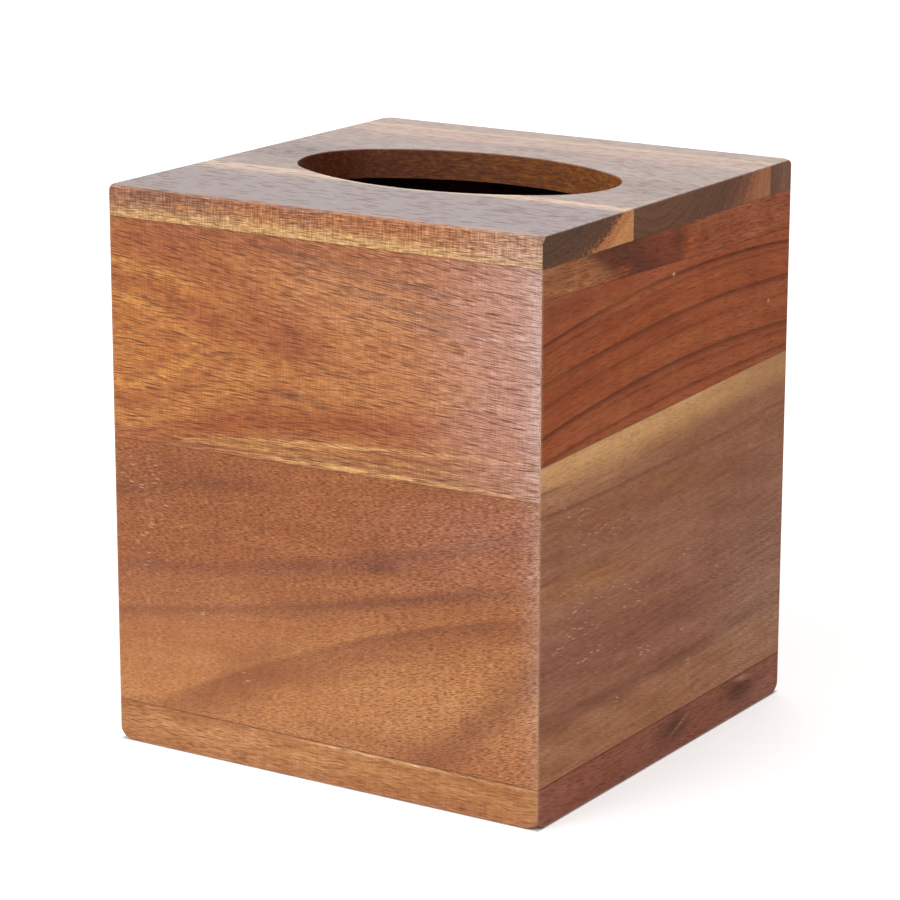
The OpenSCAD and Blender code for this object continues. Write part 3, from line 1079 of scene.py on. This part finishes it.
def right_staves() -> list[Stave]:
    """Describes the four staves of the right wall."""
    upper = dull_wood(
        bands=((8, (164, 92, 60)), (14, (160, 86, 54)), (20, (156, 82, 50))),
        pore=(82, 42, 32),
        grain=Grain(tilt=0.05, wave=0.6, fibre=0.7, strand=0.5, pores=0.45, pore_depth=0.4),
        streaks=(
            Streak(Arc(-4, 35, 75), (176, 112, 68), 0.9, 4, 40, ragged=2),
            Streak(Arc(-7.5, 31.5, 71.5), (96, 50, 34), 0.95, 20, 4.4, ragged=2),
        ),
        patches=(
            Patch(74, 14, 5, 3, (190, 100, 52), 0.6, -0.3),
            Patch(67, 11, 3.5, 6, (84, 42, 30), 0.45, 0.4),
            Patch(44, 13, 5, 3, (88, 46, 34), 0.35, 0.3), Patch(39, 15.4, 5, 1.4, (172, 88, 48)),
            Patch(56, 12, 7, 3, (134, 64, 38), 0.45), Patch(6, 11, 10, 4, (140, 88, 58), 0.6),
        ),
        seams=(TOP_SEAM, RIGHT_UPPER_SEAM),
        seed=61,
    )
    middle = dull_wood(
        bands=(
            (6, (162, 86, 52)), (16, (164, 86, 52)), (26, (160, 80, 44)), (38, (162, 83, 46)),
            (50, (166, 88, 52)),
        ),
        pore=(88, 38, 28),
        grain=Grain(
            flow=Arc(7, 1, 1), tilt=0.05, wave=0.5, fibre=0.5, strand=0.25, cloud=0.35,
            ripple=0.15, pores=0.35, pore_depth=0.3, pore_length=6,
        ),
        streaks=(
            Streak(Arc(27, 20.5, 22), (78, 32, 20), 0.75, 0.3, 0.8, ragged=0.3),
            Streak(Arc(29.5, 23, 24), (92, 40, 24), 0.4, 0.3, 0.5, ragged=0.5),
            Streak(Arc(32, 26, 27.5), (92, 40, 24), 0.4, 0.3, 0.6, 10, 110, 14, ragged=0.4),
            Streak(Arc(36.5, 31, 31), (78, 32, 20), 0.6, 0.3, 1.1, ragged=0.3),
            Streak(Arc(42, 36, 36), (90, 38, 22), 0.4, 0.3, 0.8, ragged=0.5),
            Streak(Arc(49.5, 43.4, 44), (78, 32, 20), 0.65, 0.3, 1.1, ragged=0.3),
            Streak(Arc(52, 46, 46.4), (92, 40, 24), 0.35, 0.3, 0.6, 20, 150, 14, ragged=0.5),
            Streak(Arc(56, 51.5, 50.5), (90, 38, 22), 0.5, 0.3, 0.8, ragged=0.4),
        ),
        patches=(
            Patch(7, 19.5, 14, 3, (120, 66, 44), 0.5, -0.06),
            Patch(42, 22, 16, 2.4, (174, 104, 58), 0.4, -0.05),
            Patch(60, 27, 30, 2.2, (176, 98, 54), 0.4, -0.05),
            Patch(96, 26.5, 24, 2.2, (174, 96, 54), 0.4),
            Patch(58, 40, 24, 2.6, (176, 98, 54), 0.35, -0.04),
            Patch(100, 38, 20, 5, (172, 98, 60), 0.35), Patch(6, 34, 9, 3, (160, 98, 56), 0.4),
            Patch(65, 20.5, 0.6, 0.4, (230, 190, 150), 0.9),
            Patch(118, 36, 0.5, 0.4, (230, 190, 150), 0.8),
        ),
        seams=(RIGHT_UPPER_SEAM, RIGHT_LOWER_SEAM),
        seed=73,
    )
    lower = dull_wood(
        bands=(
            (50, (220, 168, 114)), (58, (216, 162, 108)), (63, (178, 124, 88)),
            (68, (160, 106, 76)), (84, (158, 106, 78)), (91, (168, 116, 88)),
            (101, (154, 101, 78)), (108, (154, 101, 78)), (118, (162, 108, 82)),
            (123, (156, 102, 76)), (127, (172, 118, 84)), (141, (176, 120, 86)),
        ),
        pore=(104, 62, 46),
        grain=Grain(
            flow=Arc(2.4, 0.6, -2.4), tilt=0.17, centre=100, fan=-0.3, wave=0.5, fibre_length=3,
            cloud=0.3, ripple=0.12, pores=0.3, pore_depth=0.16, pore_length=3.6,
        ),
        streaks=(
            Streak(Arc(69.5, 69, 66), (110, 68, 50), 0.45, 0.3, 0.7, ragged=0.12),
            Streak(Arc(63.5, 63, 62), (110, 66, 46), 0.6, 0.4, 0.5, -20, 10, 6, ragged=0.12),
            Streak(Arc(121.5, 124, 121), (118, 74, 58), 0.4, 1.6, 1.6, ragged=0.4),
        ),
        patches=(
            Patch(150, 54, 62, 7, (174, 122, 80), 0.8),
            Patch(106, 63, 30, 3, (144, 94, 64), 0.55, -0.03),
            Patch(24, 91, 30, 3.6, (188, 124, 72), 0.45, 0.04),
            Patch(70, 75, 24, 2.4, (176, 114, 66), 0.4, 0.06),
            Patch(30, 76, 26, 3, (144, 84, 58), 0.45, 0.06),
            Patch(60, 112, 38, 2.6, (136, 80, 64), 0.45, 0.04),
            Patch(96, 90, 30, 3, (140, 84, 62), 0.4, 0.02),
            Patch(50, 104, 30, 1.8, (174, 112, 72), 0.35, 0.04),
            Patch(106, 76, 36, 13, (147, 94, 70)), Patch(120, 118, 26, 24, (182, 144, 125), 0.35),
        ),
        flecks=(
            Patch(26, 80, 16, 2.4), Patch(20, 92, 13, 1.4), Patch(22, 97, 10, 2),
            Patch(52, 98, 12, 2), Patch(76, 96, 8, 1.4), Patch(44, 103, 9, 1.5),
            Patch(32, 96, 12, 1.2), Patch(14, 103, 12, 3), Patch(12, 72, 12, 3),
            Patch(88, 104, 5, 1.4), Patch(24, 111, 14, 2), Patch(52, 117, 12, 1.5),
            Patch(72, 117, 4, 1.2), Patch(79, 126, 4, 1.2), Patch(38, 126, 3, 1.2),
        ),
        seams=(RIGHT_LOWER_SEAM, RIGHT_BASE),
        seed=89,
    )
    base = dull_wood(
        bands=((138, (158, 98, 76)), (144, (162, 104, 84)), (150, (160, 104, 86))),
        pore=(86, 48, 40),
        grain=Grain(tilt=0.1, wave=0.6, strand=0.3, cloud=0.3, ripple=0.12, pore_depth=0.35),
        patches=(
            Patch(22, 145, 30, 8, (158, 82, 52), 0.3), Patch(86, 146, 12, 5, (156, 84, 56), 0.3),
            Patch(70, 143, 8, 3.4, (70, 38, 30), 0.7, -0.1),
            Patch(106, 143, 9, 3.6, (70, 38, 30), 0.7, 0.1),
            Patch(108, 140, 4, 0.8, (216, 162, 124), 0.5, 0.15),
            Patch(73, 143, 5, 0.6, (210, 154, 116), 0.45, -0.4),
        ),
        seams=(RIGHT_BASE,),
        seed=101,
    )
    return [
        Stave("right_upper_stave", Board.RIGHT, upper),
        Stave("right_middle_stave", Board.RIGHT, middle),
        Stave("right_lower_stave", Board.RIGHT, lower),
        Stave("right_base_strip", Board.RIGHT, base),
    ]


def top_staves() -> list[Stave]:
    """Describes the three staves of the top board."""
    front = lid_wood(
        bands=(
            (66, (116, 88, 82)), (72, (116, 90, 86)), (78.6, (120, 92, 86)), (80, (184, 146, 116)),
            (81, (204, 164, 128)), (90, (206, 166, 130)),
        ),
        pore=(92, 54, 34),
        grain=Grain(
            pith=(134.3, -67.5), wave=0.6, fibre=1.6, strand=0.1, cloud=0.1, ripple=0.05,
            hatch=0.7, pores=0.36, pore_depth=0.65, pore_length=8, pore_width=0.34, flat=3,
        ),
        streaks=(
            Streak(Arc(60.9, 94.3, 60.9), (250, 222, 184), 0.55, 0.9, 0.9, 36, 96, 4, ragged=0),
        ),
        patches=(
            Patch(70, 131, 100, 1.5, (176, 112, 68), 1.8, 0, 3, 6),
            Patch(20, 131, 50, 1.5, (132, 66, 42), 0.6, 0, 0.4, 1.2),
            Patch(60, 131, 76, 4.5, (206, 158, 102), 2.4, 0, 8.8, 2.8),
            # Painted sheen at the right end of the front edge.
            Patch(128, 131, 18, 3, (208, 166, 140), 0.8, 0, 5, 5),
            Patch(10, 91.5, 34, 6, (184, 150, 122), 0.65, reach=3),
        ),
        seams=(LID_FRONT_SEAM,),
        end_bands=(
            (66, (84, 50, 22)), (72, (78, 44, 18)), (78.6, (98, 56, 26)), (80.4, (186, 116, 62)),
            (84, (204, 135, 78)), (90, (208, 142, 86)),
        ),
        seed=113,
    )
    middle = lid_wood(
        bands=(
            (30, (147, 117, 104)), (36, (143, 113, 102)), (42, (149, 119, 106)),
            (50, (143, 111, 98)), (57, (151, 119, 106)), (61, (169, 132, 111)),
            (66, (172, 133, 112)), (70, (170, 131, 112)),
        ),
        pore=(66, 40, 34),
        grain=Grain(pith=(74, -31), fibre=0.8, strand=0.6, cloud=0.5, pore_depth=0.16, flat=1.5),
        patches=(
            Patch(12, 62, 14, 13, (84, 44, 30), 0.8), Patch(119, 60, 12, 12, (92, 52, 36), 0.6),
            Patch(65, 24, 26, 5, (120, 72, 54)), Patch(50, 20, 60, 2.5, (196, 150, 124), 0.4),
        ),
        seams=(LID_FRONT_SEAM, LID_REAR_SEAM),
        end_bands=(
            (30, (108, 66, 36)), (38, (100, 58, 30)), (50, (96, 54, 28)), (56, (110, 62, 34)),
            (59, (128, 72, 42)), (63, (160, 96, 58)), (70, (166, 104, 64)),
        ),
        seed=127,
    )
    rear = lid_wood(
        bands=(
            (0, (158, 128, 112)), (8, (156, 126, 108)), (10, (184, 147, 116)),
            (13, (192, 156, 124)),
        ),
        pore=(76, 44, 38),
        grain=Grain(wave=0.6, fibre=0.8, strand=0.5, pore_depth=0.16),
        seams=(LID_REAR_SEAM,),
        end_bands=((0, (126, 82, 60)), (9, (112, 70, 48)), (13, (96, 58, 38))),
        seed=139,
    )
    return [
        Stave("top_front_stave", Board.TOP, front),
        Stave("top_middle_stave", Board.TOP, middle),
        Stave("top_rear_stave", Board.TOP, rear),
    ]


def back_staves() -> list[Stave]:
    """Describes the three staves of the back wall, in the manner of the front."""
    seam, base_seam = Arc(78.4, 79, 79.6), Arc(138.4, 138.6, 138.8)
    upper = AcaciaFinish(
        bands=(
            (8, (176, 104, 58)), (22, (184, 112, 60)), (38, (178, 102, 54)), (52, (188, 116, 62)),
            (66, (170, 98, 54)), (80, (182, 110, 60)),
        ),
        pore=(94, 48, 40),
        grain=Grain(flow=Arc(0, 5, -2), centre=50, fan=-0.3, fibre=0.7, pore_length=4),
        streaks=(
            Streak(Arc(30, 37, 26), (110, 56, 40), 0.6, 0.8, 2.2, ragged=0.5),
            Streak(Arc(46, 54, 44), (120, 64, 42), 0.5, 1, 2.6, ragged=0.5),
            Streak(Arc(66, 70, 65), (110, 56, 40), 0.55, 0.8, 2, 10, 120, 16, ragged=0.5),
        ),
        seams=(TOP_SEAM, seam),
        seed=151,
    )
    lower = AcaciaFinish(
        bands=(
            (76, (162, 90, 54)), (92, (156, 82, 48)), (110, (164, 92, 54)), (124, (152, 80, 48)),
            (141, (162, 90, 54)),
        ),
        pore=(88, 40, 30),
        grain=Grain(
            flow=Arc(0, -4, 3), fibre=0.5, strand=0.5, cloud=0.5, pore_depth=0.45, pore_length=3.4,
        ),
        streaks=(
            Streak(Arc(94, 89, 97), (84, 36, 26), 0.65, 0.6, 1.6, ragged=0.3),
            Streak(Arc(103, 99, 106), (92, 40, 28), 0.5, 0.6, 1.4, ragged=0.3),
            Streak(Arc(118, 113, 121), (84, 36, 26), 0.6, 0.6, 1.8, ragged=0.3),
        ),
        flecks=(Patch(34, 108, 18, 3), Patch(92, 128, 16, 3)),
        seams=(seam, base_seam),
        seed=163,
    )
    base = AcaciaFinish(
        bands=((138, (186, 120, 68)), (145, (200, 138, 84)), (150, (186, 122, 74))),
        pore=(120, 68, 48),
        grain=Grain(wave=0.6, fibre=0.5, pores=0.45, pore_depth=0.4),
        seams=(base_seam,),
        seed=177,
    )
    return [
        Stave("back_upper_stave", Board.BACK, upper),
        Stave("back_lower_stave", Board.BACK, lower),
        Stave("back_base_strip", Board.BACK, base),
    ]


def left_staves() -> list[Stave]:
    """Describes the four staves of the left wall, in the manner of the right."""
    upper_seam = Arc(38.2, 37.35, 36.5)
    lower_seam = Arc(92.7, 93.4, 94.1)
    base_seam = Arc(138.8, 138.75, 138.7)
    upper = AcaciaFinish(
        bands=(
            (8, (166, 108, 74)), (20, (158, 100, 70)), (30, (170, 112, 78)), (39, (156, 98, 66)),
        ),
        pore=(102, 60, 44),
        grain=Grain(flow=Arc(0, 2, -1), wave=0.7, fibre=0.5, pores=0.45, pore_depth=0.4),
        streaks=(
            Streak(Arc(20, 23, 18), (106, 62, 44), 0.6, 0.5, 1.4, ragged=0.3),
            Streak(Arc(31, 33, 30), (106, 62, 44), 0.45, 0.5, 1.2, ragged=0.3),
        ),
        flecks=(Patch(40, 26, 20, 3), Patch(100, 16, 12, 2)),
        seams=(TOP_SEAM, upper_seam),
        gloss=0.3,
        seed=191,
    )
    middle = AcaciaFinish(
        bands=(
            (36, (178, 112, 66)), (50, (188, 124, 74)), (64, (174, 108, 64)), (80, (184, 120, 72)),
            (90, (214, 160, 104)), (96, (220, 168, 110)),
        ),
        pore=(112, 62, 46),
        grain=Grain(flow=Arc(0, 3, 8), fan=0.2, strand=0.3, pore_depth=0.45, pore_length=1.6),
        streaks=(
            Streak(Arc(48, 52, 60), (118, 62, 40), below=2.6, ragged=0.3),
            Streak(Arc(60, 64, 73), (118, 62, 40), below=3, ragged=0.3),
            Streak(Arc(74, 78, 86), (124, 68, 44), 0.5, 1.2, 3, -20, 110, 14, ragged=0.3),
        ),
        seams=(upper_seam, lower_seam),
        gloss=0.3,
        seed=203,
    )
    lower = AcaciaFinish(
        bands=(
            (91, (166, 90, 54)), (104, (158, 80, 46)), (120, (166, 90, 54)), (140, (156, 82, 48)),
        ),
        pore=(88, 40, 30),
        grain=Grain(
            flow=Arc(0, -2, 2), wave=0.7, fibre=0.45, fibre_length=3.6, strand=0.5, cloud=0.5,
            pore_depth=0.4, pore_length=4,
        ),
        streaks=(
            Streak(Arc(104, 100, 106), (82, 34, 24), 0.7, 0.5, 1.4, ragged=0.2),
            Streak(Arc(112, 109, 115), (90, 38, 26), 0.5, 0.5, 1.2, ragged=0.2),
            Streak(Arc(126, 122, 129), (82, 34, 24), 0.6, 0.5, 1.4, ragged=0.2),
        ),
        seams=(lower_seam, base_seam),
        gloss=0.3,
        seed=217,
    )
    base = AcaciaFinish(
        bands=((138, (184, 118, 68)), (145, (196, 132, 78)), (150, (184, 120, 72))),
        pore=(118, 66, 46),
        grain=Grain(wave=0.6, fibre=0.5, pores=0.45, pore_depth=0.4),
        seams=(base_seam,),
        seed=229,
    )
    return [
        Stave("left_upper_stave", Board.LEFT, upper),
        Stave("left_middle_stave", Board.LEFT, middle),
        Stave("left_lower_stave", Board.LEFT, lower),
        Stave("left_base_strip", Board.LEFT, base),
    ]


@dataclass(frozen=True)
class Softbox:
    """A soft studio lamp, aimed at the middle of the cover.

    Attributes:
        name: The lamp's name.
        azimuth: Its bearing in degrees, from the front towards the right.
        elevation: Its height above the horizon in degrees.
        distance: How far off it is, in metres.
        size: Its width and height in metres.
        power: Its power in watts.
    """

    name: str
    azimuth: float
    elevation: float
    distance: float
    size: tuple[float, float]
    power: float

    def hang(self) -> None:
        """Makes the lamp."""
        lamp = bpy.data.lights.new(self.name, "AREA")
        lamp.shape = "RECTANGLE"
        lamp.size, lamp.size_y = self.size
        lamp.energy = self.power
        away = bearing(self.azimuth, self.elevation)
        holder = bpy.data.objects.new(self.name, lamp)
        holder.location = Cover.MIDDLE * MM + away * self.distance
        holder.rotation_euler = away.to_track_quat("Z", "Y").to_euler()
        bpy.context.scene.collection.objects.link(holder)
        LOG.info("%s: %.0f W at %.1f m", self.name, self.power, self.distance)


@dataclass(frozen=True)
class Camera:
    """The camera at the photograph's viewing angle.

    Attributes:
        focal: Focal length in pixels of a frame that is 900 wide.
        azimuth: Its bearing in degrees, from the front towards the right.
        elevation: Its height above the horizon in degrees.
        roll: Its turn about its own axis in degrees.
        distance: How far it is from the middle of the cover.
        aside: How far it is moved to its right.
        raised: How far it is moved up.
    """

    focal: float = 3439.0
    azimuth: float = 32.364
    elevation: float = 14.633
    roll: float = 0.114
    distance: float = 920.1
    aside: float = -1.8
    raised: float = -0.54

    FRAME = 900
    SENSOR = 36.0

    def place(self) -> None:
        """Makes the camera and sets it as the scene's."""
        back = bearing(self.azimuth, self.elevation)
        level = bearing(self.azimuth + 90, 0)
        upright = back.cross(level)
        roll = math.radians(self.roll)
        right = level * math.cos(roll) + upright * math.sin(roll)
        up = upright * math.cos(roll) - level * math.sin(roll)
        spot = Cover.MIDDLE + back * self.distance + right * self.aside + up * self.raised
        lens = bpy.data.cameras.new("camera")
        lens.sensor_width = self.SENSOR
        lens.lens = self.focal / self.FRAME * self.SENSOR
        holder = bpy.data.objects.new("camera", lens)
        pose = Matrix((right, up, back)).transposed().to_4x4()
        pose.translation = spot * MM
        holder.matrix_world = pose
        bpy.context.scene.collection.objects.link(holder)
        bpy.context.scene.camera = holder
        LOG.info("camera: lens %.1f mm", lens.lens)


@dataclass(frozen=True)
class Studio:
    """A plain pale floor, a white surround and soft lamps.

    Attributes:
        floor_half: Half the floor's side, in metres.
        floor_tone: The floor's colour.
        floor_glow: How much the floor is lifted towards white where the camera sees it.
        ambient: Strength of the light that comes from all round.
        lamps: The soft lamps.
    """

    floor_half: float = 6.0
    floor_tone: Tone = (240, 240, 240)
    floor_glow: float = 0.5
    ambient: float = 0.35
    lamps: tuple[Softbox, ...] = (
        Softbox("key_softbox", -28, 38, 1.6, (1.2, 1.2), 17),
        Softbox("side_softbox", 75, 30, 1.8, (1.2, 1.2), 7),
        Softbox("back_softbox", 200, 35, 1.8, (1.6, 1.0), 9),
    )

    WHITE = (1.0, 1.0, 1.0, 1.0)
    FLOOR_ROUGHNESS, FLOOR_GLOSS = 0.9, 0.1

    def build(self) -> None:
        """Makes the floor, the surround and the lamps."""
        self._floor()
        self._surround()
        for lamp in self.lamps:
            lamp.hang()

    def _floor(self) -> None:
        """Lays the floor and gives it its finish."""
        mesh = bpy.data.meshes.new("floor")
        plate = bmesh.new()
        bmesh.ops.create_grid(plate, x_segments=1, y_segments=1, size=self.floor_half)
        plate.to_mesh(mesh)
        plate.free()
        floor = bpy.data.objects.new("floor", mesh)
        bpy.context.scene.collection.objects.link(floor)
        paint = bpy.data.materials.new("floor_paint")
        graph = Graph.start(paint)
        x, y, _ = graph.split(graph.out(graph.add("TexCoord"), "Object"))
        reach = graph.calc("MAXIMUM", graph.size(x), graph.size(y))
        outside = graph.calc("GREATER_THAN", reach, Cover.HALF * MM)
        seen = graph.out(graph.add("LightPath"), "Is Camera Ray") * outside
        feeds = {
            "Base Color": linear(self.floor_tone),
            "Roughness": self.FLOOR_ROUGHNESS,
            "Specular IOR Level": self.FLOOR_GLOSS,
            "Emission Color": self.WHITE,
            "Emission Strength": seen * self.floor_glow,
        }
        shader = graph.add("BsdfPrincipled", feeds)
        graph.add("OutputMaterial", {"Surface": graph.out(shader)})
        mesh.materials.append(paint)
        LOG.info("floor: %.0f m wide", 2 * self.floor_half)

    def _surround(self) -> None:
        """Sets the light all round, and the white that is seen behind the cover."""
        world = bpy.data.worlds.new("surround")
        graph = Graph.start(world)
        path = graph.add("LightPath")
        seen: Feed = 0.0
        for ray in ("Is Camera Ray", "Is Glossy Ray", "Is Transmission Ray"):
            seen = graph.calc("MAXIMUM", seen, graph.out(path, ray))
        strength = seen * (1.0 - self.ambient) + self.ambient
        glow = graph.add("Background", {"Color": self.WHITE, "Strength": strength})
        graph.add("OutputWorld", {"Surface": graph.out(glow)})
        bpy.context.scene.world = world


def main() -> None:
    """Builds the scene: the solids, their wood, the studio and the camera."""
    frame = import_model()
    bpy.context.view_layer.update()
    staves = front_staves() + right_staves() + back_staves() + left_staves() + top_staves()
    Cover(staves).dress(frame["nodes"], GrainKit())
    Studio().build()
    Camera().place()
    bpy.context.scene.view_settings.view_transform = "Standard"


if __name__ == "__main__":
    logging.basicConfig(level=logging.INFO, format="%(name)s: %(message)s")
    main()
